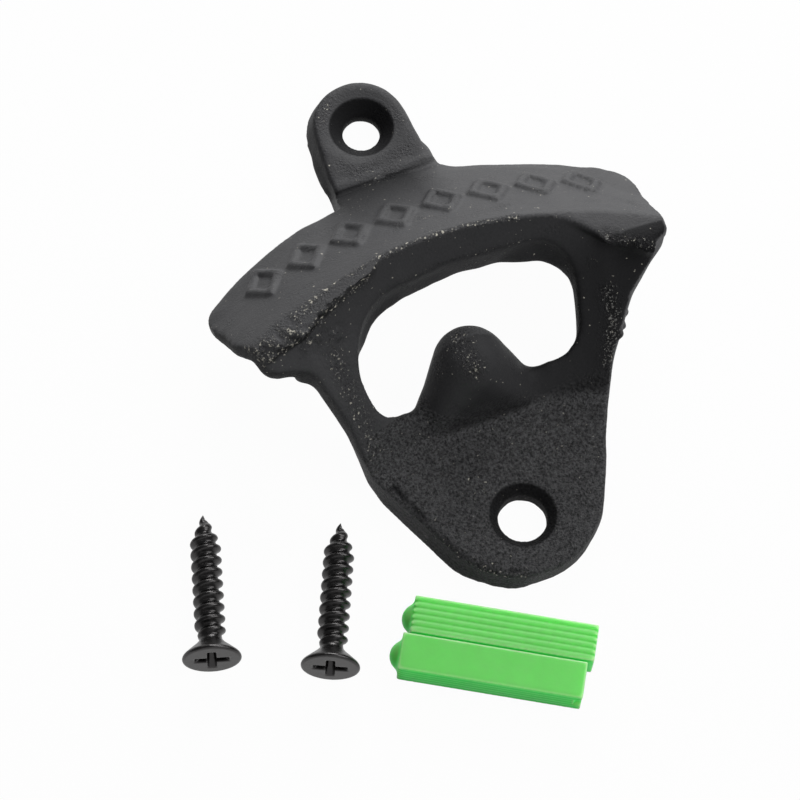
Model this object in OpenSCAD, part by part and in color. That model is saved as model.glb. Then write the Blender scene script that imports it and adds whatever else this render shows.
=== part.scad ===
// Wall-mounted bottle opener kit: a one-piece iron casting, two countersunk screws and two wall plugs.
// X runs to the right, Y up the wall and Z out of the wall. The origin is the centre of the lower
// screw hole, on the wall face. The loose pieces lie beside the casting, on the same plane.

/* [Fixing holes] */
// Distance between the two screw holes
hole_spacing = 63; // [60:0.5:66]
// Through hole in the upper lug
lug_hole_d = 5.4; // [4.6:0.2:6]
// Through hole in the lower plate
plate_hole_d = 6.8; // [5.4:0.2:7.4]
// Rim of both countersinks
sink_d = 9.4; // [8.4:0.2:10]

/* [Plate and lug] */
// Thickness of the plate and the lug
plate_t = 4; // [3.4:0.2:4.8]
// Radius of the plate's round lower end
plate_r = 11.7; // [10.8:0.3:12.9]
// Height of that round end's centre above the lower hole
plate_round_y = 3; // [2:0.5:4]
// Width across the plate's shoulders
shoulder_w = 34.8; // [33.6:0.4:36.4]
// Height of the shoulders above the lower hole
shoulder_y = 12; // [11:0.5:13]
// Radius of the lug's round upper end at the front
lug_r = 6.5; // [5.9:0.2:7.1]
// Width of the lug where it meets the hood
neck_w = 15.2; // [14:0.4:16.8]
// Widening of the lug's sides from front to back
lug_draft = 1.2; // [0.6:0.2:1.4]

/* [Hood] */
// Reach of the hood's rim out of the wall
rim_reach = 22; // [20.5:0.5:23.5]
// Height of the rim's middle above the lower hole
rim_y = 35.8; // [35:0.2:36.4]
// Radius of the rim's arch, seen from the front
rim_r = 52; // [49:1:56]
// Height above the lower hole of the crease between hood and lug
crease_y = 54.4; // [53.4:0.2:55.4]
// Wall of the hood in its middle
hood_t = 5; // [4.2:0.2:5.8]
// Wall of the hood at the ends of its wings
wing_t = 2.2; // [1.8:0.2:3]
// Width across the hood's wings
hood_w = 63; // [61:0.5:65]
// Height of the hood's top edge above the lower hole
top_edge_y = 51; // [50:0.2:51.8]
// Rounding of the wings' upper corners
wing_corner_r = 4; // [3:0.5:5]
// Height of the wings' lower tips above the lower hole
wing_tip_y = 26.8; // [26:0.2:27.6]

/* [Mouth] */
// Wall of the inclined mouth below the rim
mouth_t = 4.2; // [3.6:0.2:5]
// Height above the lower hole where the mouth leaves the plate
mouth_foot_y = 14.5; // [13.9:0.2:15.1]
// Width of the opening
opening_w = 32.8; // [31.6:0.4:34]
// Height of the opening's lower edge above the lower hole
opening_y = 17.8; // [17.2:0.2:18.4]
// Height of the opening's arch above its lower edge
opening_h = 14.8; // [14.2:0.2:15.2]
// Sideways offset of the rough casting's opening and top edge
cast_shift = 0.8; // [0:0.2:1.2]

/* [Tooth] */
// Width of the tooth where it leaves the plate
tooth_w = 18.8; // [18:0.2:19.6]
// Radius of the tooth's rounded tip
tooth_r = 5; // [4.6:0.1:5.4]
// Height of the tip's centre above the opening's lower edge
tooth_rise = 3.3; // [2.9:0.1:3.7]
// Reach of the tip's centre out of the wall
tooth_reach = 10.2; // [9.6:0.2:11]

/* [Raised border] */
// Number of lozenges along the hood
lozenge_count = 8; // [6:1:8]
// Length of a lozenge down the hood's face
lozenge_l = 10; // [8.5:0.5:11]
// Width of a lozenge along the hood
lozenge_w = 5.8; // [5:0.2:6.2]
// Distance from one lozenge to the next
lozenge_pitch = 6.8; // [6.4:0.1:7.2]
// Width of a lozenge's raised line
line_w = 1.1; // [0.8:0.1:1.3]
// Height of the raised line
line_h = 0.6; // [0.4:0.1:0.8]

/* [Screws] */
// Length of a screw from its flat face to its point
screw_l = 22; // [20:0.5:26]
// Diameter of the screw's head
head_d = 8; // [7.4:0.1:8.6]
// Diameter over the thread
thread_d = 4.3; // [4:0.1:4.6]
// Diameter of the core
core_d = 2.9; // [2.6:0.1:3.2]
// Rise of the thread in one turn
thread_pitch = 1.75; // [1.6:0.05:2.1]
// Length of the tapered point
point_l = 5; // [4:0.5:6]
// Width of the cross recess's arms
recess_w = 1.1; // [0.9:0.1:1.3]
// Depth of the cross recess
recess_l = 1.8; // [1.4:0.1:2]

/* [Wall plugs] */
// Length of a plug's body
plug_l = 25; // [24:0.5:28]
// Width of a plug's square section
plug_w = 5.2; // [5:0.1:6]
// Bore for the screw
plug_bore_d = 2.8; // [2.4:0.1:3.2]
// Depth of that bore
plug_bore_l = 20; // [17:0.5:21]
// Number of grooves along a ribbed side
groove_count = 5; // [3:1:6]
// Depth of a groove
groove_h = 0.4; // [0.3:0.1:0.7]
// Width of a groove
groove_w = 0.32; // [0.24:0.04:0.48]
// Radius of the round nose
nose_r = 2.2; // [1.9:0.1:2.4]
// Reach of the nose past the square body
nose_reach = 1.4; // [1:0.1:1.8]
// Room between the two plugs
plug_gap = 0.2; // [0.2:0.1:1]

/* [Hidden] */
$fn = 64;
far = 200;
eps = 0.01;

// Slopes of the hood, the mouth and the flat facet that trims the mouth's sides
hood_angle = atan((rim_reach - plate_t) / (crease_y - rim_y));
hood_bend_r = rim_r / sin(hood_angle);
hollow_bend_r = 1 / (1 / hood_bend_r - 8 * (hood_t - wing_t) / pow(hood_w, 2));
mouth_angle = atan((rim_reach - plate_t) / (rim_y - mouth_foot_y));
mouth_bend_r = rim_r / sin(mouth_angle);
facet_turn = 3.2;
facet_lead = 2.7;
facet_angle = mouth_angle + facet_turn;
facet_foot_y = mouth_foot_y - facet_lead;
border_place = 0.6;
border_y = -(rim_reach - plate_t) / sin(hood_angle) * border_place;

// Narrowing of the neck's left side at the back
neck_pinch = 1.2;

// Outline of the wings and the mouth's sides; the left one is a rougher, narrower casting
half_hood = hood_w / 2;
corner_cross = 0.1;
crest_start = 1;
crest_inset = 7.5;
crest_drop = 3.4;
crest_end = 60;
half_shoulder = shoulder_w / 2;
tip_inset = 1;
right_flare = 6.8;
right_drop = 4.4;
right_bulge = 2.2;
right_rise = 4.4;
left_chip_w = 3;
left_chip_h = 5;
left_flare = 4;
left_drop = 2;
left_bulge = 1.2;
left_rise = 6.4;
right_side = [[half_hood - tip_inset, wing_tip_y],
              [half_shoulder + right_flare, wing_tip_y - right_drop],
              [half_shoulder + right_bulge, shoulder_y + right_rise],
              [half_shoulder, shoulder_y]];
left_side = [[tip_inset - half_hood, wing_tip_y + left_chip_h],
             [tip_inset + left_chip_w - half_hood, wing_tip_y],
             [-half_shoulder - left_flare, wing_tip_y - left_drop],
             [-half_shoulder - left_bulge, shoulder_y + left_rise],
             [-half_shoulder, shoulder_y]];

// Blunt front lip under the right wing, and the slant that blunts both ends of the rim
lip_slant = 6.8;
lip_start = 14.5;
lip_back = 14;
lip_lead = 2;
lip_fall = 2.8;
lip_bend_x = 4.4;
lip_bend_y = 1.2;
lip_end_x = 4.1;
lip_end_y = 1.8;
lip_edge = [[lip_start + lip_lead, rim_y - lip_fall],
            [half_shoulder + lip_bend_x, wing_tip_y + lip_bend_y],
            [half_hood - lip_end_x, wing_tip_y - lip_end_y]];

// Where the loose pieces lie: middle of a screw's head and of a plug's nose end, and their headings
screw_left_gap = 15.2;
screw_left_y = -5;
screw_left_heading = -16.3;
screw_right_gap = 0.8;
screw_right_y = -11.5;
screw_right_heading = -24.4;
plug_gap_x = 5.35;
plug_gap_y = 0.9;
screw_left_at = [-half_hood - screw_left_gap, screw_left_y];
screw_right_at = [-half_hood - screw_right_gap, screw_right_y];
plug_front_at = [-half_shoulder - plug_gap_x, -plate_r - plug_gap_y];
plug_heading = -30;
plug_step = 0.8;

// Opening, with a rounder corner on its left
right_corner_r = 5.5;
left_corner_r = 9;
left_corner_inset = 0.3;
arch_rise = 0.8;
right_lobe_r = 4;
left_lobe_r = 3;
lobe_inset = 0.8;
right_lobe_lift = 0.6;

// Screws
head_rim = 0.4;
neck_extra = 0.3;
neck_d = core_d + neck_extra;
neck_l = 0.6;
blunt_l = 0.3;
recess_share = 0.6;
head_l = head_rim + (head_d - neck_d) / 2;
thread_sides = 14;
rows_per_turn = 6;
full_l = screw_l - point_l;
dip = atan((head_d - thread_d) / 2 / (full_l - head_rim));

// Wall plugs
notch_share = 0.45;
notch_w = plug_w * notch_share;
notch_l = 1;
notch_h = (plug_w - plug_bore_d) / 3;

// The point where a tangent from p touches a circle of radius r about the centre c, on the right
function touch(p, c, r) =
    let (v = p - c, a = atan2(v[1], v[0]) - acos(r / norm(v)))
    c + r * [cos(a), sin(a)];

module both_sides() {
    children();
    mirror([1, 0, 0]) children();
}

// Flat plate with a round lower end, straight flanks and square shoulders
module plate() {
    centre = [0, plate_round_y];
    shoulder = [half_shoulder, shoulder_y];
    flank = touch(shoulder, centre, plate_r);
    linear_extrude(plate_t) {
        translate(centre) circle(plate_r);
        both_sides()
            polygon([centre, flank, shoulder, [half_shoulder, opening_y], [0, opening_y]]);
    }
}

// One slice of the lug: a round end that runs down to the neck, which may be pinched on its left
module lug_slice(z, grow, pinch) {
    translate([0, 0, z]) linear_extrude(eps) {
        translate([0, hole_spacing + lug_draft / 2]) circle(lug_r + grow, $fn = 48);
        translate([pinch - neck_w / 2 - grow, top_edge_y - lug_draft])
            square([neck_w + 2 * grow - pinch, eps]);
    }
}

module lug() {
    hull() {
        lug_slice(0, lug_draft, neck_pinch);
        lug_slice(plate_t - eps, 0, 0);
    }
}

// The hood's own frame at the crease: z out of its face, y up its slope
module on_hood() {
    translate([0, crease_y, plate_t]) rotate([-hood_angle, 0, 0]) children();
}

// The mouth's own frame at the middle of the rim: z out of its face, y up its slope
module on_mouth() {
    translate([0, rim_y, rim_reach]) rotate([mouth_angle, 0, 0]) children();
}

// Everything behind a bent face that lies a depth behind the crease
module behind_hood(depth, r) {
    on_hood() translate([0, 0, -depth - r]) rotate([90, 0, 0])
        cylinder(r = r, h = 2 * far, center = true, $fn = 180);
}

// Everything in front of a mouth face that lies a depth behind the outer one
module before_mouth(depth) {
    on_mouth() translate([0, 0, mouth_bend_r]) rotate([90, 0, 0])
        cylinder(r = mouth_bend_r + depth, h = 2 * far, center = true, $fn = 180);
}

// Everything in front of the flat facet along the mouth's sides
module before_facet() {
    translate([0, facet_foot_y, plate_t]) rotate([facet_angle, 0, 0])
        translate([-far / 2, -far / 2, 0]) cube(far);
}

// Height of a wing corner's centre, where its circle just crosses the arch of the top edge
function corner_y(x) =
    top_edge_y - rim_r + sqrt(pow(rim_r - wing_corner_r + corner_cross, 2) - pow(x - cast_shift, 2));

// Outline of the hood and the mouth from the front
module outline() {
    inner = half_hood - wing_corner_r;
    hub = [cast_shift, top_edge_y - rim_r];
    left = [-inner, corner_y(-inner)];
    right = [inner, corner_y(inner)];
    intersection() {
        translate(hub) circle(rim_r, $fn = 180);
        polygon([hub, 2 * left - hub, 2 * right - hub]);
    }
    polygon([hub, [neck_w / 2, crease_y - crest_start], [half_hood - crest_inset, top_edge_y - crest_drop],
             right + (wing_corner_r - corner_cross) * [cos(crest_end), sin(crest_end)], right]);
    translate(left) circle(wing_corner_r);
    translate(right) circle(wing_corner_r);
    polygon(concat([right, right + [wing_corner_r, 0]], right_side,
                   [for (i = [len(left_side) - 1 : -1 : 0]) left_side[i]],
                   [left - [wing_corner_r, 0], left]));
    translate([-neck_w / 2, shoulder_y]) square([neck_w, crease_y + plate_t - shoulder_y]);
}

// Two bent walls that meet along the rim, hollow behind
module walls() {
    difference() {
        intersection() {
            linear_extrude(far) outline();
            behind_hood(0, hood_bend_r);
        }
        before_mouth(0);
        before_facet();
        difference() {
            behind_hood(hood_t, hollow_bend_r);
            before_mouth(mouth_t);
        }
    }
}

// Lip under the right wing, in front of the facet
module lip() {
    intersection() {
        behind_hood(0, hood_bend_r);
        translate([0, 0, lip_back]) linear_extrude(far)
            polygon(concat(lip_edge, [right_side[0], [half_hood - tip_inset, rim_y]]));
    }
}

module hood_and_mouth() {
    difference() {
        union() {
            walls();
            lip();
        }
        both_sides() translate([lip_start, 0, rim_reach]) rotate([0, lip_slant, 0])
            translate([-far / 2, -far / 2, 0]) cube(far);
    }
}

module lozenge(l, w) {
    polygon([[0, l / 2], [w / 2, 0], [0, -l / 2], [-w / 2, 0]]);
}

// Row of raised lozenge frames that follows the hood's bend
module border() {
    turn_per_mm = 180 / PI / hood_bend_r;
    first = cast_shift - (lozenge_count - 1) / 2 * lozenge_pitch;
    for (i = [0 : lozenge_count - 1])
        on_hood() translate([0, 0, -hood_bend_r])
            rotate([0, (first + i * lozenge_pitch) * turn_per_mm, 0])
                translate([0, border_y, hood_bend_r - wing_t / 2])
                    linear_extrude(wing_t / 2 + line_h) difference() {
                        lozenge(lozenge_l, lozenge_w);
                        lozenge(lozenge_l - 3 * line_w, lozenge_w - 2 * line_w);
                    }
}

// Opening for the cap, straight through along Z
module opening() {
    half = opening_w / 2;
    corner_top = opening_h - arch_rise;
    lobe_x = half - lobe_inset;
    translate([cast_shift, opening_y, -1]) linear_extrude(far) hull() {
        translate([half - right_corner_r, corner_top - right_corner_r]) circle(right_corner_r, $fn = 32);
        translate([left_corner_inset + left_corner_r - half, corner_top - left_corner_r]) intersection() {
            circle(left_corner_r, $fn = 48);
            translate([-left_corner_r, 0]) square(left_corner_r);
        }
        translate([lobe_x - right_lobe_r, right_lobe_r + right_lobe_lift]) circle(right_lobe_r, $fn = 32);
        translate([left_lobe_r - lobe_x, left_lobe_r]) circle(left_lobe_r, $fn = 32);
        translate([0, opening_h - left_lobe_r]) circle(left_lobe_r, $fn = 32);
    }
}

// Tooth that hooks under the cap's edge
module tooth() {
    foot_r = 2.7;
    foot_sink = 1;
    translate([0, opening_y, 0]) hull() {
        both_sides()
            translate([tooth_w / 2 - foot_r, -foot_sink, 0]) cylinder(r = foot_r, h = plate_t, $fn = 32);
        translate([0, tooth_rise, tooth_reach]) sphere(tooth_r, $fn = 32);
    }
}

// Countersunk screw hole through a plate
module screw_hole(d) {
    sink_l = (sink_d - d) / 2;
    translate([0, 0, -1]) cylinder(d = d, h = plate_t + 2);
    translate([0, 0, plate_t - sink_l]) cylinder(d1 = d, d2 = sink_d + 2, h = sink_l + 1);
}

module opener_casting() {
    color("#3b3b3d") difference() {
        union() {
            difference() {
                union() {
                    plate();
                    lug();
                    hood_and_mouth();
                    border();
                }
                opening();
            }
            tooth();
        }
        screw_hole(plate_hole_d);
        translate([0, hole_spacing, 0]) screw_hole(lug_hole_d);
    }
}

// Core and thread of a screw as one surface: its radius rises to the crest once in every turn.
// It starts inside the plain neck and thins to the point.
module threaded_core() {
    start = head_l + neck_l / 4;
    bare_l = head_l + neck_l;
    rows = round((screw_l - start) / thread_pitch * rows_per_turn);
    step = (screw_l - start) / rows;
    crest = (thread_d - core_d) / 2;
    function thin(s) = min(1, (screw_l - s + blunt_l) / point_l);
    function rise(s) = min(1, max(0, (s - bare_l) / thread_pitch * 2));
    function wave(s, a) = pow(cos(180 * (s / thread_pitch - a / 360)), 4);
    function radius(s, a) = (core_d / 2 + crest * rise(s) * wave(s, a)) * thin(s);
    function id(j, k) = j * thread_sides + k % thread_sides;
    points = [for (j = [0 : rows], k = [0 : thread_sides - 1])
        let (a = 360 * k / thread_sides, s = start + j * step, r = radius(s, a))
        [r * cos(a), r * sin(a), s]];
    ends = [[for (k = [0 : thread_sides - 1]) k], [for (k = [thread_sides - 1 : -1 : 0]) id(rows, k)]];
    cells = [for (j = [0 : rows - 1], k = [0 : thread_sides - 1]) [j, k]];
    lower = [for (c = cells) [id(c[0], c[1]), id(c[0] + 1, c[1]), id(c[0] + 1, c[1] + 1)]];
    upper = [for (c = cells) [id(c[0], c[1]), id(c[0] + 1, c[1] + 1), id(c[0], c[1] + 1)]];
    polyhedron(points, concat(ends, lower, upper));
}

// Countersunk screw, its flat face on the plane z = 0 and its point up
module screw() {
    difference() {
        union() {
            cylinder(d = head_d, h = head_rim);
            translate([0, 0, head_rim]) cylinder(d1 = head_d, d2 = neck_d, h = head_l - head_rim);
            translate([0, 0, head_l]) cylinder(d = neck_d, h = neck_l);
            threaded_core();
        }
        translate([0, 0, -eps]) intersection() {
            cylinder(d1 = head_d * recess_share, d2 = recess_w, h = recess_l);
            for (turn = [0, 90])
                rotate([0, 0, turn]) translate([-head_d / 2, -recess_w / 2, -1])
                    cube([head_d, recess_w, recess_l + 2]);
        }
    }
}

// A screw lying down: it rests on its head's rim and on the last full turn of the thread
module lying_screw(at, heading) {
    lift = head_d / 2 * cos(dip) + head_rim * sin(dip);
    translate([at[0], at[1], lift]) rotate([0, 0, heading]) rotate([-90 - dip, 0, 0]) screw();
}

module screw_left() {
    color("#54555a") lying_screw(screw_left_at, screw_left_heading);
}

module screw_right() {
    color("#54555a") lying_screw(screw_right_at, screw_right_heading);
}

// Square wall plug along X from its nose end, with ribbed sides in front and behind
module plug() {
    groove_step = plug_w / (groove_count + 1);
    difference() {
        union() {
            translate([0, -plug_w / 2, -plug_w / 2]) cube([plug_l, plug_w, plug_w]);
            translate([nose_r - nose_reach, 0, 0]) sphere(nose_r);
        }
        translate([plug_l - plug_bore_l, 0, 0]) rotate([0, 90, 0])
            cylinder(d = plug_bore_d, h = plug_bore_l + 1);
        for (side = [-1, 1], i = [1 : groove_count])
            translate([-1, side * plug_w / 2 - groove_h, i * groove_step - plug_w / 2 - groove_w / 2])
                cube([plug_l + 2, 2 * groove_h, groove_w]);
        translate([plug_l - notch_l, -plug_w / 2 - notch_h, -notch_w / 2])
            cube([notch_l + 1, 2 * notch_h, notch_w]);
    }
}

module wall_plug_front() {
    color("#59c45c") translate([plug_front_at[0], plug_front_at[1], plug_w / 2])
        rotate([0, 0, plug_heading]) plug();
}

// The rear plug lies on a ribbed side
module wall_plug_rear() {
    color("#59c45c") translate([plug_front_at[0], plug_front_at[1], plug_w / 2])
        rotate([0, 0, plug_heading]) translate([plug_step, plug_w + plug_gap, 0])
            rotate([90, 0, 0]) plug();
}

opener_casting();
screw_left();
screw_right();
wall_plug_front();
wall_plug_rear();
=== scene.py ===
"""Looks of a wall-mounted bottle opener, its two screws and its two wall plugs."""

import math

import bmesh
import bpy
from mathutils import Matrix, Vector, noise


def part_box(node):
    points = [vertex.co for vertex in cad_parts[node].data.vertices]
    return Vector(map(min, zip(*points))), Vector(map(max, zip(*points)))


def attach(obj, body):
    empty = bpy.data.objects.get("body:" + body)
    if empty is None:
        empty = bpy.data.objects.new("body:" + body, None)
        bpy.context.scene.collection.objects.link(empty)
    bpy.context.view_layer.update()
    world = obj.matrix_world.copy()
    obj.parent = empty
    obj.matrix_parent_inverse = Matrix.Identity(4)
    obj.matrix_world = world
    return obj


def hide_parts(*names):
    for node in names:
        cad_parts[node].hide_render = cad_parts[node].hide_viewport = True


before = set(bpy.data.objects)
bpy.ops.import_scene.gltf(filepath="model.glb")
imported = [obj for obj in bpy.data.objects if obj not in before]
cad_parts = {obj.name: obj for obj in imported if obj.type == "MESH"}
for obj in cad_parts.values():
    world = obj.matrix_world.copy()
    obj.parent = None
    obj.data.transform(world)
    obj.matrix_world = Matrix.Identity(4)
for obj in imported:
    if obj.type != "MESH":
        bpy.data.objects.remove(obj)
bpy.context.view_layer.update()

MM = 0.001

# Sizes in millimetres, as in the part's source
HOLE_SPACING = 63.0
SINK_R = 4.7
PLATE_T = 4.0
PLATE_ROUND_Y = 3.0
RIM_REACH = 22.0
RIM_Y = 35.8
CREASE_Y = 54.4
HEAD_R = 4.0
HEAD_RIM = 0.4
HEAD_L = 2.8
NECK_R = 1.6
CORE_R = 1.45
THREAD_R = 2.15
THREAD_PITCH = 1.75
SCREW_L = 22.0
FULL_L = 17.0
RECESS_W = 1.1
RECESS_L = 1.8

# How wide the faces of each skin are, in millimetres
IRON_FACE = 0.33
SCREW_FACE = 0.11
PLUG_FACE = 0.13


# Small helpers
def linear(hex_colour):
    """An sRGB hex value as a linear colour with full alpha."""
    parts = [int(hex_colour[k:k + 2], 16) / 255 for k in (1, 3, 5)]
    return [p / 12.92 if p <= 0.04045 else ((p + 0.055) / 1.055) ** 2.4 for p in parts] + [1.0]


def clamp(value, low=0, high=1):
    """The value, kept between two limits."""
    return min(high, max(low, value))


def ease(share):
    """A share from 0 to 1 that starts and ends smoothly."""
    return share * share * (3 - 2 * share)


def path(*points):
    """The points of a line, in millimetres."""
    return [Vector(point) for point in points]


def near(point, start, end, reach):
    """1 on the line from start to end, falling smoothly to 0 at this distance from it."""
    share = clamp((point - start).dot(end - start) / (end - start).length_squared)
    gap = (point - start.lerp(end, share)).length
    return ease(max(0, 1 - gap / reach))


def along(point, line, reach):
    """1 on a line of several points, falling smoothly to 0 at this distance from it."""
    return max(near(point, start, end, reach) for start, end in zip(line, line[1:]))


# Material helpers
def cells(size):
    """The scale of a pattern whose cells are this many millimetres wide, on Object coordinates."""
    return 1 / (size * MM)


def add(tree, kind, links, out=None, **settings):
    """Adds a shader node with its settings, links its inputs or sets them, and gives one output."""
    node = tree.nodes.new(kind)
    for key, value in settings.items():
        setattr(node, key, value)
    for key, value in links.items():
        if isinstance(value, bpy.types.NodeSocket):
            tree.links.new(value, node.inputs[key])
        else:
            node.inputs[key].default_value = value
    return node if out is None else node.outputs[out]


def new_finish(name):
    """An empty material and its node tree."""
    material = bpy.data.materials.new(name)
    material.use_nodes = True
    material.node_tree.nodes.clear()
    return material, material.node_tree


# Mesh helpers
def to_object(name, bm):
    """Puts a bmesh into a new object at the origin."""
    piece = bpy.data.objects.new(name, bpy.data.meshes.new(name))
    save(piece, bm)
    bpy.context.scene.collection.objects.link(piece)
    return piece


def opened(piece):
    """The piece's mesh as a bmesh."""
    bm = bmesh.new()
    bm.from_mesh(piece.data)
    return bm


def save(piece, bm):
    """Makes the bmesh the piece's mesh."""
    bm.to_mesh(piece.data)
    bm.free()


def apply_modifiers(piece):
    """Keeps the shape that the modifiers give."""
    graph = bpy.context.evaluated_depsgraph_get()
    mesh = bpy.data.meshes.new_from_object(piece.evaluated_get(graph))
    piece.modifiers.clear()
    piece.data = mesh


def skin(piece, face):
    """Gives the piece one closed skin of even faces, in which cast and rolled edges can be rounded."""
    remesh = piece.modifiers.new("skin", "REMESH")
    remesh.mode = "VOXEL"
    remesh.voxel_size = face * MM
    remesh.use_smooth_shade = True
    apply_modifiers(piece)


def copy_of(node, name):
    """A copy of a solid's mesh with its doubles merged."""
    bm = opened(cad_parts[node])
    bmesh.ops.remove_doubles(bm, verts=bm.verts, dist=1e-6)
    return to_object(name, bm)


def soften(bm, rounds):
    """Smooths each vertex as many times as its own count says."""
    for turn in range(max(rounds)):
        chosen = [v for v, count in zip(bm.verts, rounds) if count > turn]
        bmesh.ops.smooth_vert(bm, verts=chosen, factor=0.5,
                              use_axis_x=True, use_axis_y=True, use_axis_z=True)


def smoothed(bm, rounds):
    """A copy that is smoothed all over."""
    smooth = bm.copy()
    soften(smooth, [rounds] * len(smooth.verts))
    return smooth


def ridges(bm, rounds):
    """How far each vertex stands out of its smoothed surroundings, in millimetres."""
    smooth = smoothed(bm, rounds)
    bm.normal_update()
    heights = [(v.co - s.co).dot(v.normal) / MM for v, s in zip(bm.verts, smooth.verts)]
    smooth.free()
    return heights


def store(piece, name, values):
    """Keeps one number for each vertex, for a material to read."""
    layer = piece.data.attributes.new(name, "FLOAT", "POINT")
    layer.data.foreach_set("value", values)


def dress(piece, material, node, body):
    """Gives a piece its material, smooth shading and its body, and hides the solid that it stands for."""
    piece.data.materials.clear()
    piece.data.materials.append(material)
    for face in piece.data.polygons:
        face.use_smooth = True
    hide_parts(node)
    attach(piece, body)


# Widths and depths of the finishes' patterns in millimetres
PAINT_CLOUD = 6.0
PAINT_CHIP = 0.45
SAND_GRAIN = 0.36
SAND_DEPTH = 0.6
PLASTIC_CLOUD = 3.0
# Rolling and mould marks are finer on real pieces, and are drawn as coarse as they need to show
ROLLING_MARK = 0.8
MOULD_MARK = 0.4
MARK_DEPTH = 0.1
# Sockets of a colour mix
SHARE, FIRST, SECOND, MIXED = 0, 6, 7, 2
# What the casting's and the plugs' meshes keep for their materials: marks, painted shade and painted
# highlights
IRON_MARKS_AND_SHADE = ("wear", "chip", "sand", "painted_shade")
PLUG_PAINTED_LIGHT = ("edge", "side")


# Black paint on sand-cast iron: a matt skin over sand grain, dark pits, bare flecks painted as glints, and
# painted shade
def painted_iron():
    material, tree = new_finish("black_paint_on_sand_cast_iron")
    place = add(tree, "ShaderNodeTexCoord", {}, "Object")
    wear, chip, sand, painted_shade = [add(tree, "ShaderNodeAttribute", {}, "Fac", attribute_name=name)
                              for name in IRON_MARKS_AND_SHADE]
    cloud = add(tree, "ShaderNodeTexNoise",
                {"Vector": place, "Scale": cells(PAINT_CLOUD), "Detail": 4.0}, "Fac")
    grain = add(tree, "ShaderNodeTexNoise",
                {"Vector": place, "Scale": cells(SAND_GRAIN), "Detail": 3.0, "Roughness": 0.65}, "Fac")
    chips = add(tree, "ShaderNodeTexNoise",
                {"Vector": place, "Scale": cells(PAINT_CHIP), "Detail": 1.0, "Roughness": 0.5}, "Fac")
    smooth = add(tree, "ShaderNodeMix",
                 {SHARE: cloud, FIRST: linear("#38383a"), SECOND: linear("#414142")},
                 MIXED, data_type="RGBA")
    tone = add(tree, "ShaderNodeMapRange", {"Value": grain, "From Min": 0.36, "From Max": 0.64}, "Result")
    sandy = add(tree, "ShaderNodeMix",
                {SHARE: tone, FIRST: linear("#29292a"), SECOND: linear("#5b5b5c")},
                MIXED, data_type="RGBA")
    coat = add(tree, "ShaderNodeMix", {SHARE: sand, FIRST: smooth, SECOND: sandy}, MIXED, data_type="RGBA")
    # Painted shade: the coat turns near-black where the shade is painted
    shaded_coat = add(tree, "ShaderNodeMix",
                {SHARE: painted_shade, FIRST: coat, SECOND: linear("#161617")}, MIXED, data_type="RGBA")
    # Worn skin: its low grains are dark pits and its high grains are rubbed grey
    some = add(tree, "ShaderNodeMath", {0: sand, 1: 0.45}, 0, operation="MULTIPLY")
    pitting = add(tree, "ShaderNodeMath", {0: wear, 1: some}, 0, operation="MAXIMUM")
    pit_from = add(tree, "ShaderNodeMapRange", {"Value": pitting, "To Min": 0.26, "To Max": 0.45}, "Result")
    pit_gap = add(tree, "ShaderNodeMath", {0: pit_from, 1: grain}, 0, operation="SUBTRACT")
    pit = add(tree, "ShaderNodeMapRange", {"Value": pit_gap, "From Max": 0.1, "To Max": 0.9}, "Result")
    pitted = add(tree, "ShaderNodeMix",
                 {SHARE: pit, FIRST: shaded_coat, SECOND: linear("#0b0b0b")}, MIXED, data_type="RGBA")
    rub_from = add(tree, "ShaderNodeMapRange", {"Value": wear, "To Min": 0.8, "To Max": 0.53}, "Result")
    rub_gap = add(tree, "ShaderNodeMath", {0: grain, 1: rub_from}, 0, operation="SUBTRACT")
    rub = add(tree, "ShaderNodeMapRange", {"Value": rub_gap, "From Max": 0.1}, "Result")
    rubbed = add(tree, "ShaderNodeMix",
                 {SHARE: rub, FIRST: pitted, SECOND: linear("#7b7a77")}, MIXED, data_type="RGBA")
    # Chips: bare iron with a painted glint, brightest in the middle of each
    fleck_from = add(tree, "ShaderNodeMapRange", {"Value": chip, "To Min": 0.82, "To Max": 0.5}, "Result")
    fleck_gap = add(tree, "ShaderNodeMath", {0: chips, 1: fleck_from}, 0, operation="SUBTRACT")
    fleck_and_glint = add(tree, "ShaderNodeMapRange", {"Value": fleck_gap, "From Max": 0.14}, "Result")
    colour = add(tree, "ShaderNodeMix",
                 {SHARE: fleck_and_glint, FIRST: rubbed, SECOND: linear("#c4c0b3")}, MIXED, data_type="RGBA")
    # The grain is deep where the skin is sandy or worn, and the sheen fades where shade is painted
    gloss = add(tree, "ShaderNodeMapRange",
                {"Value": grain, "From Min": 0.3, "From Max": 0.7, "To Min": 0.52, "To Max": 0.64},
                "Result")
    shade_dimmed_sheen = add(tree, "ShaderNodeMapRange", {"Value": painted_shade, "To Min": 0.2, "To Max": 0.03}, "Result")
    rough = add(tree, "ShaderNodeMath", {0: wear, 1: sand}, 0, operation="MAXIMUM")
    depth = add(tree, "ShaderNodeMapRange", {"Value": rough, "To Min": 0.12, "To Max": 1.0}, "Result")
    bump = add(tree, "ShaderNodeBump",
               {"Strength": depth, "Distance": SAND_DEPTH * MM, "Height": grain}, "Normal")
    shader = add(tree, "ShaderNodeBsdfPrincipled",
                 {"Base Color": colour, "Roughness": gloss, "Specular IOR Level": shade_dimmed_sheen, "Normal": bump},
                 "BSDF")
    add(tree, "ShaderNodeOutputMaterial", {"Surface": shader})
    return material


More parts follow.
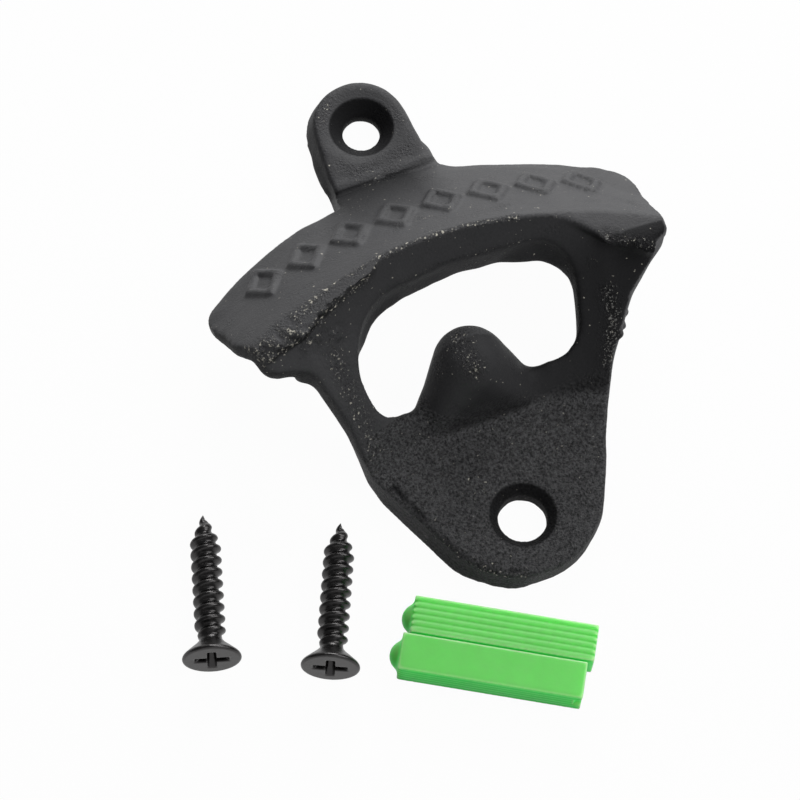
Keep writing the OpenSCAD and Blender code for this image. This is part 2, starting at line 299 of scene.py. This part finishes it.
# Black nickel on rolled steel: a dark mirror with faint rolling marks
def nickel_steel():
    material, tree = new_finish("black_nickel_plated_steel")
    place = add(tree, "ShaderNodeTexCoord", {}, "Object")
    marks = add(tree, "ShaderNodeTexNoise",
                {"Vector": place, "Scale": cells(ROLLING_MARK), "Detail": 3.0}, "Fac")
    colour = add(tree, "ShaderNodeMix",
                 {SHARE: marks, FIRST: linear("#373636"), SECOND: linear("#4c4b4b")},
                 MIXED, data_type="RGBA")
    gloss = add(tree, "ShaderNodeMapRange",
                {"Value": marks, "From Min": 0.3, "From Max": 0.7, "To Min": 0.28, "To Max": 0.4},
                "Result")
    bump = add(tree, "ShaderNodeBump",
               {"Strength": 0.06, "Distance": MARK_DEPTH * MM, "Height": marks}, "Normal")
    shader = add(tree, "ShaderNodeBsdfPrincipled",
                 {"Base Color": colour, "Metallic": 1.0, "Roughness": gloss, "Normal": bump}, "BSDF")
    add(tree, "ShaderNodeOutputMaterial", {"Surface": shader})
    return material


# Green moulded polyethylene: waxy and translucent, with a painted highlight on its edges and painted shade
# of a deeper green on its sides
def green_polyethylene():
    material, tree = new_finish("green_moulded_polyethylene")
    place = add(tree, "ShaderNodeTexCoord", {}, "Object")
    edge, side = [add(tree, "ShaderNodeAttribute", {}, "Fac", attribute_name=name) for name in PLUG_PAINTED_LIGHT]
    cloud = add(tree, "ShaderNodeTexNoise",
                {"Vector": place, "Scale": cells(PLASTIC_CLOUD), "Detail": 3.0}, "Fac")
    marks = add(tree, "ShaderNodeTexNoise",
                {"Vector": place, "Scale": cells(MOULD_MARK), "Detail": 2.0}, "Fac")
    top = add(tree, "ShaderNodeMix",
              {SHARE: cloud, FIRST: linear("#70d265"), SECOND: linear("#7ad970")},
              MIXED, data_type="RGBA")
    # Painted shade: faces that turn sideways are a deeper green
    body = add(tree, "ShaderNodeMix",
               {SHARE: side, FIRST: top, SECOND: linear("#40f25c")}, MIXED, data_type="RGBA")
    # Painted highlight: the edges are paler
    highlight_share = add(tree, "ShaderNodeMapRange",
               {"Value": edge, "From Min": 0.1, "From Max": 0.9, "To Min": 0.0, "To Max": 0.85}, "Result")
    colour = add(tree, "ShaderNodeMix",
                 {SHARE: highlight_share, FIRST: body, SECOND: linear("#aef29c")}, MIXED, data_type="RGBA")
    gloss = add(tree, "ShaderNodeMapRange",
                {"Value": marks, "From Min": 0.3, "From Max": 0.7, "To Min": 0.36, "To Max": 0.48},
                "Result")
    bump = add(tree, "ShaderNodeBump",
               {"Strength": 0.08, "Distance": MARK_DEPTH * MM, "Height": marks}, "Normal")
    shader = add(tree, "ShaderNodeBsdfPrincipled",
                 {"Base Color": colour, "Roughness": gloss, "Specular IOR Level": 0.25,
                  "Subsurface Weight": 1.0, "Subsurface Radius": (0.3, 1.0, 0.35),
                  "Subsurface Scale": 3.5 * MM, "Normal": bump}, "BSDF")
    add(tree, "ShaderNodeOutputMaterial", {"Surface": shader})
    return material


# Lines on the casting: its rim, lips, rails, edges, feet and flanks
LEFT_RIM = path((-11.0, 35.2, 21.8), (-14.3, 34.1, 21.6), (-22.2, 29.9, 20.8), (-27.5, 28.2, 20.1))
LEFT_LIP = path((-10.9, 33.2, 21), (-13.5, 32.5, 21), (-15.9, 31.1, 20.8), (-17.3, 29.6, 20.5),
                (-20.5, 29.4, 20.5), (-22.7, 28.4, 20.5), (-25.0, 27.6, 20), (-28.2, 27.3, 20))
LEFT_BREAK = path((-21.5, 28.0, 19.5), (-17.0, 27.5, 18.5))
RIGHT_LIP = path((21.8, 28.2, 21.0), (24.5, 26.5, 20.8), (27.6, 24.9, 20.4))
LIP_CORNER = path((27.4, 25.2, 20.5), (27.8, 25.2, 20.4))
LEFT_RAIL = path((-18.0, 26.0, 17.5), (-17.0, 20.0, 11.5), (-16.0, 15.0, 7.0))
RIGHT_RAIL = path((20.8, 23.1, 14.5), (20.6, 19.8, 11.6), (18.5, 15.7, 7.4))
RIGHT_EDGE = path((29.5, 26.0, 17.0), (24.2, 22.4, 13.8), (19.6, 16.4, 8.3), (17.6, 12.4, 4.4))
LINTEL = path((-12.8, 29.0, 12.2), (-8.4, 31.4, 13.4), (0.0, 32.2, 13.8), (4.0, 31.9, 13.5),
              (12.6, 31.2, 13.8), (15.4, 29.6, 13.4))
LEFT_CORNER = path((-9.4, 18.9, 3.0), (-8.6, 18.4, 8.0))
RIGHT_CORNER = path((8.4, 19.2, 3.0), (7.8, 18.4, 8.0))
TOOTH = path((-0.8, 23.4, 14.3), (-0.6, 18.3, 14.4))
TOOTH_FOOT = path((-9.0, 15.0, 4.4), (-5.0, 13.8, 4.6), (5.0, 13.8, 4.6), (9.0, 15.0, 4.4))
MOUTH_FOOT = path((-15.0, 13.6, 4.4), (15.0, 13.6, 4.4))
PLATE_EDGE = path((-13.4, 1.2, 4.0), (-9.6, -4.9, 4.0), (-2.9, -8.4, 4.0))
EDGE_LINE = path((-15.1, 9.7, 4.2), (-13.3, 5.0, 4.2), (-11.6, 0.6, 4.2), (-9.5, -3.4, 4.2),
                 (-6.8, -6.1, 4.2), (-3.7, -7.4, 4.2))
LEFT_FLANK = path((-15.8, 8.2, 0.0), (-10.6, -2.2, 0.0))
LOWER_FLANK = path((-8.0, -5.6, 0.0), (-4.5, -7.8, 0.0))
RIGHT_FLANK = path((13.2, 3.5, 2.0), (10.5, -2.5, 2.0))
CREASE = path((-7.8, 53.8, 4.8), (7.4, 53.8, 4.8))
LUG_FOOT = path((-7.4, 55.1, 4.0), (7.0, 55.1, 4.0))
LUG_PITS = path((-4.0, 56.2, 4.0), (5.0, 57.5, 4.0))
LUG_EDGE = path((-4.9, 66.0, 4.0), (-3.1, 68.7, 4.0))
HOLES = path((0, 0, 0), (0, HOLE_SPACING, 0))
HOOD_FACE = Vector((0, RIM_REACH, CREASE_Y - RIM_Y)).normalized()
# Where each broken lip hangs to
LEFT_HANG = Vector((0.35, -0.7, 0.62))
RIGHT_HANG = Vector((0.15, -0.9, -0.25))
# Where the rough casting's outline leaves the solid's: a line, how far it is pushed, and its reach
PUSHES = [(path((12.6, 31.6, 14.0), (15.4, 30.2, 13.6)), Vector((-0.3, -1.3, 0.0)), 5.0),
          (path((-8.4, 31.6, 13.5), (-12.8, 29.0, 12.2)), Vector((0.35, -0.35, 0.0)), 3.0),
          (path((-10.6, 18.4, 6.0), (-8.8, 18.8, 6.0)), Vector((0.0, 0.6, 0.0)), 4.0),
          (path((28.6, 43.3, 6.8), (29.8, 42.2, 7.2), (31.4, 37.5, 10.0)), Vector((0.35, 0.6, 0.0)), 4.0),
          (path((-29.5, 40.5, 9.0), (-25.8, 43.7, 8.0), (-14.5, 48.6, 7.5)), Vector((-0.2, 0.3, 0.0)), 3.5),
          (path((11.2, 52.1, 5.0), (19.5, 49.4, 5.6), (23.0, 47.6, 5.9)), Vector((0.0, -0.4, 0.0)), 3.5),
          (path((-28.8, 29.2, 15.6), (-26.5, 27.2, 16.5)), Vector((-0.15, -0.5, 0.0)), 4.0),
          (path((-31.6, 34.6, 14.5), (-31.7, 33.6, 17.5)), Vector((0.3, 0.0, 0.0)), 3.0),
          (path((-7.9, 55.6, 2.0), (-8.1, 54.4, 3.5)), Vector((0.5, 0.0, 0.0)), 2.2),
          (path((-15.0, 23.3, 9.0), (-14.5, 21.1, 7.0)), Vector((-0.35, 0.0, 0.0)), 2.5),
          (path((9.2, 19.4, 4.0), (8.6, 18.6, 8.0)), Vector((0.0, 0.35, 0.0)), 3.0),
          (path((-12.8, 29.0, 12.2), (-8.4, 31.4, 13.4), (-1.0, 32.2, 13.8)),
           Vector((0.15, -0.35, 0.0)), 4.0),
          (path((-7.7, 60.0, 0.0), (-7.7, 58.0, 0.0)), Vector((-0.4, 0.0, 0.0)), 3.0),
          (path((8.2, 57.0, 2.0), (7.6, 54.0, 3.8)), Vector((0.6, 0.25, 0.0)), 2.5)]
# Flanks of the plate that lie further out: a line, how far, its reach, and whether it slopes
FLANKS = [(LEFT_FLANK, 1.1, 5.0, True), (LOWER_FLANK, 0.5, 4.0, True), (RIGHT_FLANK, 0.4, 5.0, False)]
# Centre, reach and height of each lump, or depth of each dent
LUMPS = [(Vector((-24.8, 26.0, 13.4)), 1.9, -1.0), (Vector((27.2, 24.9, 11.5)), 1.3, 0.5),
         (Vector((24.7, 22.8, 10.0)), 1.2, 0.45), (Vector((23.3, 21.2, 9.2)), 0.9, 0.4),
         (Vector((22.3, 19.7, 8.5)), 0.9, 0.45), (Vector((21.2, 18.4, 9.3)), 1.1, 0.5)]
# Where the casting is rounder: a line, its reach and its rounds of smoothing
CORNERS = [(RIGHT_CORNER, 3.5, 70), (LEFT_CORNER, 4.5, 70), (LINTEL, 2.5, 60)]
# Its feet and an edge in front: a line, its reach and how many rounds are added
FEET = [(MOUTH_FOOT, 3.2, 6), (TOOTH_FOOT, 3.5, 8), (RIGHT_EDGE, 1.6, 4)]
# Where the paint is worn: a line, its reach, how worn it is and how chipped
WORN = [(RIGHT_RAIL, 3.0, 1.0, 0.45), (LEFT_RAIL, 3.5, 0.8, 0.6), (TOOTH, 3.4, 0.95, 0.68),
        (LEFT_LIP, 1.9, 0.9, 0.8), (LEFT_BREAK, 3.5, 0.7, 0.5), (RIGHT_LIP, 1.9, 0.9, 0.5),
        (LUG_EDGE, 2.0, 0.6, 0.6), (LUG_PITS, 1.8, 0.6, 0.0), (LIP_CORNER, 0.9, 0.0, 1.0)]
# Rounds of smoothing elsewhere
HOLE_ROUNDS = 1
RELIEF_ROUNDS = 4
RIM_ROUNDS = 3
WORN_RIM_ROUNDS = 6
BACK_ROUNDS = 3
FRONT_ROUNDS = 7
SIDE_ROUNDS = 24
# The rim is worn left of this place
WORN_RIM_X = 12
# Upper end of the bare sand grain, and how far the painted shadow reaches below the crease
SAND_TOP_Y = 15.8
CREASE_SHADE = 13
# Smoothing before the wear's heights are taken, and the height of a fully worn edge
WEAR_ROUNDS = 14
WEAR_HEIGHT = 0.12


# The casting: its solid with rounded edges, an uneven skin, broken lips and small lumps
def hole_gap(p):
    """How far a point is from the nearest screw hole's axis."""
    return min((p - hole).xy.length for hole in HOLES)


def casting_rounds(p, n):
    """How often a vertex is smoothed: little at holes, relief and rim, and much in the rounded corners."""
    if hole_gap(p) < SINK_R + 1.0:
        return HOLE_ROUNDS
    if n.dot(HOOD_FACE) > 0.3 and RIM_Y + 1.5 < p.y < CREASE_Y - 2.5 and p.z > 6:
        return RELIEF_ROUNDS
    if p.z > RIM_REACH - 4:
        return RIM_ROUNDS if p.x > WORN_RIM_X else WORN_RIM_ROUNDS
    if p.z < 1:
        return BACK_ROUNDS
    corner = max(rounds * along(p, line, reach) for line, reach, rounds in CORNERS)
    foot = max(rounds * along(p, line, reach) for line, reach, rounds in FEET)
    return max(SIDE_ROUNDS if n.z < 0.1 else FRONT_ROUNDS + round(foot), round(corner))


def casting_shift(p, n):
    """How far the rough casting's skin lies from the solid's."""
    coarse, fine = noise.noise(p / 1.5), noise.noise(p / 0.7)
    # What the smoothing took, waves, a finer grain on the plate, a rough break, and a groove at the crease
    move = 0.17 + 0.055 * noise.noise(p / 5) + 0.03 * coarse
    move += 0.03 * noise.noise(p / 0.9) * clamp((17 - p.y) / 4)
    move += 0.45 * along(p, LEFT_BREAK, 3.5) * (coarse + 0.6 * fine)
    move += 0.15 * along(p, LUG_FOOT, 1.2) - 0.4 * along(p, CREASE, 1.3)
    shift = n * move
    # Ragged lips
    shift += LEFT_HANG * max(0, 1.5 + 0.8 * coarse + 0.5 * fine) * along(p, LEFT_RIM, 2.6)
    shift += RIGHT_HANG * max(0, 0.8 + 0.9 * coarse + 0.7 * fine) * along(p, RIGHT_LIP, 1.7)
    # The wall's side stays flat and the holes stay round
    shift.z *= clamp(p.z / 0.8)
    shift *= clamp(hole_gap(p) - SINK_R - 0.3)
    for centre, reach, height in LUMPS:
        shift += n * height * ease(max(0, 1 - (p - centre).length / reach))
    for line, push, reach in PUSHES:
        shift += push * along(p, line, reach)
    out = Vector((p.x, p.y - PLATE_ROUND_Y, 0)).normalized()
    for line, push, reach, slope in FLANKS:
        shift += out * push * along(p, line, reach) * (max(0, 1 - p.z / PLATE_T) if slope else 1)
    return shift


def wall_side_rounds(p, n):
    """How often the edges on the wall's side are smoothed, which a sand mould leaves even."""
    if n.z < 0.15 and p.y > RIM_Y + 1:
        return 12
    return 4 if p.z < 1.2 else 0


def painted_shade_depth(p, n):
    """How dark the painted shade is: most under the rim, in the opening, in holes and below the crease;
    also darker towards the plate's lower end, along the right lip and along the plate's left edge.
    """
    dark = max(0.22 * clamp((12 - p.y) / 10),
               along(p, RIGHT_LIP, 1.9) * (0.5 + 0.5 * noise.noise(p)),
               along(p, EDGE_LINE, 0.9) * clamp(0.75 + 0.7 * noise.noise(p / 2.2), 0.3, 0.95))
    # Painted shade under the rim and in front of the opening, darker towards the right
    if p.y < RIM_Y + 1 and n.y < 0.35 and (n.z < 0.9 or p.y < 28) and not (n.x > 0.45 and p.x > 14):
        front = clamp((n.z - 0.1) / 0.4)
        deep = 0.41 + 0.018 * p.x * clamp((32 - p.y) / 6)
        dark = max(dark, (0.8 + (deep - 0.8) * front) * clamp((p.z - 4.6) / 0.9))
    # Painted shade on the opening's walls, but not on the tooth
    if p.z > PLATE_T and p.y > 16.5 and not (abs(p.x) < 10 and p.y < 27):
        wall = clamp((0.45 - n.z) / 0.2) * clamp((18 - abs(p.x - 0.8)) / 1.2) * clamp((35 - p.y) / 2)
        dark += (0.5 + 0.5 * clamp((n.y + 0.7) / 0.5) - dark) * wall
    # Painted shade on the plate's lower wall and on the lug, darkest on its left side, then a painted
    # shadow on the hood below the crease
    if p.y < 2 and n.z < 0.5:
        dark = 0.4
    if p.y > CREASE_Y:
        dark = 0.4 if n.x < -0.5 else 0.15
    elif p.y > CREASE_Y - CREASE_SHADE and n.z > 0.3:
        dark = max(dark, 0.88 * (1 - (CREASE_Y - p.y) / CREASE_SHADE) * clamp((10 - abs(p.x + 2)) / 5))
    # Painted shade in the screw holes
    return max(dark, 0.9 * clamp((SINK_R + 0.15 - hole_gap(p)) / 0.3))


def casting_marks_and_shade(p, n, height):
    """How worn, chipped and sandy the skin is, and how dark its painted shade is."""
    rim = 0.82 if p.z > RIM_REACH - 3 and p.x < WORN_RIM_X else 0.2
    rim = clamp(height / WEAR_HEIGHT) * max(rim, along(p, LEFT_LIP, 4), 0.8 * along(p, PLATE_EDGE, 2.5))
    wear = max(rim, noise.noise(p / 3) - 0.1)
    chip = max(0.85 * rim, 0.24 + 0.12 * noise.noise(p / 6))
    for line, reach, worn, chipped in WORN:
        share = along(p, line, reach)
        wear, chip = max(wear, worn * share), max(chip, chipped * share)
    # Bare sand grain on the plate, and a little higher left of the tooth
    top = SAND_TOP_Y + (4.5 * clamp((-3 - p.x) / 3) * clamp((p.x + 17) / 3) if p.z < 8 else 0)
    sand = max(clamp((top - p.y) / 1.5), 0.1)
    return wear, chip, sand, painted_shade_depth(p, n)


def cast_opener():
    piece = copy_of("opener_casting", "cast_opener")
    skin(piece, IRON_FACE)
    low, high = [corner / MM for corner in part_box("opener_casting")]
    bm = opened(piece)
    bm.normal_update()
    soften(bm, [casting_rounds(v.co / MM, v.normal) for v in bm.verts])
    bm.normal_update()
    places = [v.co / MM + casting_shift(v.co / MM, v.normal) for v in bm.verts]
    for v, place in zip(bm.verts, places):
        v.co = Vector(clamp(c, a, b) for c, a, b in zip(place, low, high)) * MM
    bm.normal_update()
    soften(bm, [wall_side_rounds(v.co / MM, v.normal) for v in bm.verts])
    heights = ridges(bm, WEAR_ROUNDS)
    marks = [casting_marks_and_shade(v.co / MM, v.normal, height) for v, height in zip(bm.verts, heights)]
    save(piece, bm)
    for name, values in zip(IRON_MARKS_AND_SHADE, zip(*marks)):
        store(piece, name, values)
    return piece


# A screw: a spun head with a cross recess, and a thread swept as a helix that thins to a point
HEAD_PROFILE = [(0, 0), (3.7, 0), (3.92, 0.07), (HEAD_R, 0.2), (HEAD_R, HEAD_RIM), (3.86, 0.62),
                (2.9, 1.5), (2.1, 2.2), (NECK_R, HEAD_L), (CORE_R, 3.6), (CORE_R, 4.4), (0, 4.4)]
HEAD_STEPS = 64
# One turn of thread: shares of its pitch and of its height
THREAD_SHAPE = [(0, 0), (0.12, 0.05), (0.25, 0.5), (0.36, 0.9), (0.5, 1), (0.64, 0.9), (0.75, 0.5),
                (0.88, 0.05), (1, 0)]
THREAD_START = 1.6
THREAD_STEPS = 30
THREAD_FADE = 1.5
POINT_SHARE = 0.07
POINT_PAST = 0.3
# A slot of the recess: its length, the share of its width and its depth, at the face and at the bottom
SLOT_FACE = (5.4, 1.15, -0.3)
SLOT_BOTTOM = (1.6, 0.75, RECESS_L)
SCREW_ROUNDS = 4


def spun(outline, angle, steps, rise=0.0, closed=False):
    """A line of radii and heights in millimetres, spun around Z, with this rise at each step."""
    bm = bmesh.new()
    verts = [bm.verts.new((r * MM, 0, z * MM)) for r, z in outline]
    edges = [bm.edges.new(pair) for pair in zip(verts, verts[1:])]
    bmesh.ops.spin(bm, geom=verts + edges, cent=(0, 0, 0), axis=(0, 0, 1), dvec=(0, 0, rise),
                   angle=angle, steps=steps, use_merge=closed, use_duplicate=False)
    bmesh.ops.remove_doubles(bm, verts=bm.verts, dist=1e-6)
    return bm


def screw_head():
    """The head, from the middle of its face to inside the rod."""
    bm = spun(HEAD_PROFILE, math.tau, HEAD_STEPS, closed=True)
    bmesh.ops.recalc_face_normals(bm, faces=bm.faces)
    return bm


def thread():
    """The threaded rod, from inside the head to the point."""
    turns = (SCREW_L - THREAD_START) / THREAD_PITCH - 1
    count = round(turns * THREAD_STEPS)
    bm = spun([(CORE_R + (THREAD_R - CORE_R) * rise, THREAD_START + share * THREAD_PITCH)
               for share, rise in THREAD_SHAPE],
              math.tau * count / THREAD_STEPS, count, rise=THREAD_PITCH * MM / THREAD_STEPS)
    for v in bm.verts:
        height = v.co.z / MM
        taper = clamp((SCREW_L + POINT_PAST - height) / (SCREW_L - FULL_L), POINT_SHARE)
        r = v.co.xy.length / MM
        r = min(r, CORE_R) + max(0, r - CORE_R) * clamp((height - HEAD_L) / THREAD_FADE)
        v.co.xy = v.co.xy.normalized() * r * taper * MM
        v.co.z = min(v.co.z, SCREW_L * MM)
    bmesh.ops.holes_fill(bm, edges=[e for e in bm.edges if e.is_boundary], sides=0)
    bmesh.ops.recalc_face_normals(bm, faces=bm.faces)
    return bm


def recess_slot(turn):
    """One slot of the cross recess, narrower at its bottom."""
    bm = bmesh.new()
    bmesh.ops.create_cube(bm, size=1)
    for v in bm.verts:
        length, share, depth = SLOT_BOTTOM if v.co.z > 0 else SLOT_FACE
        v.co = Vector((v.co.x * length, v.co.y * share * RECESS_W, depth)) * MM
    bm.transform(Matrix.Rotation(turn, 4, "Z"))
    return to_object("recess_slot", bm)


def cut(piece, cutter):
    """Takes the cutter's shape out of the piece."""
    boolean = piece.modifiers.new("cut", "BOOLEAN")
    boolean.operation = "DIFFERENCE"
    boolean.solver = "EXACT"
    boolean.object = cutter
    apply_modifiers(piece)
    bpy.data.objects.remove(cutter)


def wood_screw(name, at, heading):
    """A screw that lies on the edge of its head and on its thread."""
    piece = to_object(name, screw_head())
    for turn in (0, math.pi / 2):
        cut(piece, recess_slot(turn))
    # The head and the rod under one skin
    bm = opened(piece)
    save(piece, thread())
    bm.from_mesh(piece.data)
    save(piece, bm)
    skin(piece, SCREW_FACE)
    bm = opened(piece)
    soften(bm, [SCREW_ROUNDS] * len(bm.verts))
    dip = math.atan((HEAD_R - THREAD_R) / (FULL_L - HEAD_RIM))
    lift = HEAD_R * math.cos(dip) + HEAD_RIM * math.sin(dip)
    bm.transform(Matrix.Translation((at[0] * MM, at[1] * MM, lift * MM))
                 @ Matrix.Rotation(math.radians(heading), 4, "Z")
                 @ Matrix.Rotation(-math.pi / 2 - dip, 4, "X"))
    save(piece, bm)
    return piece


# A wall plug: its solid with moulded edges, and grooves that are shallower than the solid's
GROOVE_FILLS = 3
GROOVE_ROUNDS = 30
PLUG_ROUNDS = 14
# Smoothing before the edges' heights are taken, and the heights of a plain face and of an edge above it
EDGE_ROUNDS = 40
EDGE_FROM = 0.04
EDGE_HEIGHT = 0.12


def wall_plug(name, node):
    piece = copy_of(node, name)
    skin(piece, PLUG_FACE)
    bm = opened(piece)
    for turn in range(GROOVE_FILLS):
        smooth = smoothed(bm, GROOVE_ROUNDS)
        bm.normal_update()
        for v, s in zip(bm.verts, smooth.verts):
            if (v.co - s.co).dot(v.normal) < 0:
                v.co = s.co
        smooth.free()
    soften(bm, [PLUG_ROUNDS] * len(bm.verts))
    # A painted highlight on the edges and painted shade on the sides, for the material
    edges = [clamp((height - EDGE_FROM) / EDGE_HEIGHT) for height in ridges(bm, EDGE_ROUNDS)]
    sides = [clamp(1.4 - 2 * abs(v.normal.z)) for v in bm.verts]
    save(piece, bm)
    for name, values in zip(PLUG_PAINTED_LIGHT, (edges, sides)):
        store(piece, name, values)
    # The photograph shows no green cast on the iron beside them
    piece.visible_diffuse = False
    return piece


# Pieces
iron, nickel, green = painted_iron(), nickel_steel(), green_polyethylene()
dress(cast_opener(), iron, "opener_casting", "casting")
dress(wood_screw("left_wood_screw", (-46.7, -5.0), -16.3), nickel, "screw_left", "left_screw")
dress(wood_screw("right_wood_screw", (-32.3, -11.5), -24.4), nickel, "screw_right", "right_screw")
dress(wall_plug("front_wall_plug", "wall_plug_front"), green, "wall_plug_front", "front_plug")
dress(wall_plug("rear_wall_plug", "wall_plug_rear"), green, "wall_plug_rear", "rear_plug")

# Floor, world and lamps, in metres
FLOOR_HALF = 1.5
FLOOR_DROP = 0.05 * MM
# How much of the floor that the camera sees is plain white, without shadow
FLOOR_WHITE = 0.97
LOOK_AT = Vector((0, 0.025, 0.01))


def white_floor():
    """Matt white paper, which stays white to the camera and in reflections but keeps a soft shadow."""
    bm = bmesh.new()
    bmesh.ops.create_grid(bm, x_segments=1, y_segments=1, size=FLOOR_HALF)
    floor = to_object("floor", bm)
    floor.data.transform(Matrix.Translation((0, 0, -FLOOR_DROP)))
    material, tree = new_finish("matt_white_paper")
    rays = add(tree, "ShaderNodeLightPath", {}).outputs
    seen = add(tree, "ShaderNodeMath",
               {0: rays["Is Camera Ray"], 1: rays["Is Glossy Ray"]}, 0, operation="MAXIMUM")
    through = add(tree, "ShaderNodeMath", {0: seen, 1: rays["Is Transmission Ray"]}, 0, operation="MAXIMUM")
    share = add(tree, "ShaderNodeMath", {0: through, 1: FLOOR_WHITE}, 0, operation="MULTIPLY")
    paper = add(tree, "ShaderNodeBsdfDiffuse", {"Color": linear("#c8c8c8")}, "BSDF")
    white = add(tree, "ShaderNodeEmission", {"Color": linear("#ffffff"), "Strength": 1.0}, "Emission")
    mix = add(tree, "ShaderNodeMixShader", {0: share, 1: paper, 2: white}, "Shader")
    add(tree, "ShaderNodeOutputMaterial", {"Surface": mix})
    floor.data.materials.append(material)


def studio_world():
    """A dim grey room that the camera sees as white."""
    world = bpy.data.worlds.new("studio")
    bpy.context.scene.world = world
    world.use_nodes = True
    tree = world.node_tree
    tree.nodes.clear()
    seen = add(tree, "ShaderNodeLightPath", {}, "Is Camera Ray")
    room = add(tree, "ShaderNodeBackground", {"Color": linear("#b8b8ba"), "Strength": 0.34}, "Background")
    white = add(tree, "ShaderNodeBackground", {"Color": linear("#ffffff"), "Strength": 1.0}, "Background")
    mix = add(tree, "ShaderNodeMixShader", {0: seen, 1: room, 2: white}, "Shader")
    add(tree, "ShaderNodeOutputWorld", {"Surface": mix})


def soft_lamp(name, place, size, power):
    """A square soft box that looks at the object's middle."""
    light = bpy.data.lights.new(name, "AREA")
    light.size = size
    light.energy = power
    lamp = bpy.data.objects.new(name, light)
    bpy.context.scene.collection.objects.link(lamp)
    lamp.location = place
    lamp.rotation_euler = (LOOK_AT - Vector(place)).to_track_quat("-Z", "Y").to_euler()


white_floor()
studio_world()
soft_lamp("key", (0.177, 0.373, 0.194), 0.26, 2.35)
soft_lamp("fill", (0.36, -0.125, 0.46), 0.4, 2.05)
soft_lamp("low", (-0.12, -0.38, 0.16), 0.4, 0.36)

# Camera
camera = bpy.data.objects.new("camera", bpy.data.cameras.new("camera"))
bpy.context.scene.collection.objects.link(camera)
camera.location = (-0.082016, -0.131878, 0.411373)
camera.rotation_euler = [math.radians(angle) for angle in (22.5287, -1.8428, -20.7694)]
camera.data.lens = 143.778
camera.data.sensor_width = 36
camera.data.clip_start = 0.01
bpy.context.scene.camera = camera
bpy.context.scene.view_settings.view_transform = "Standard"
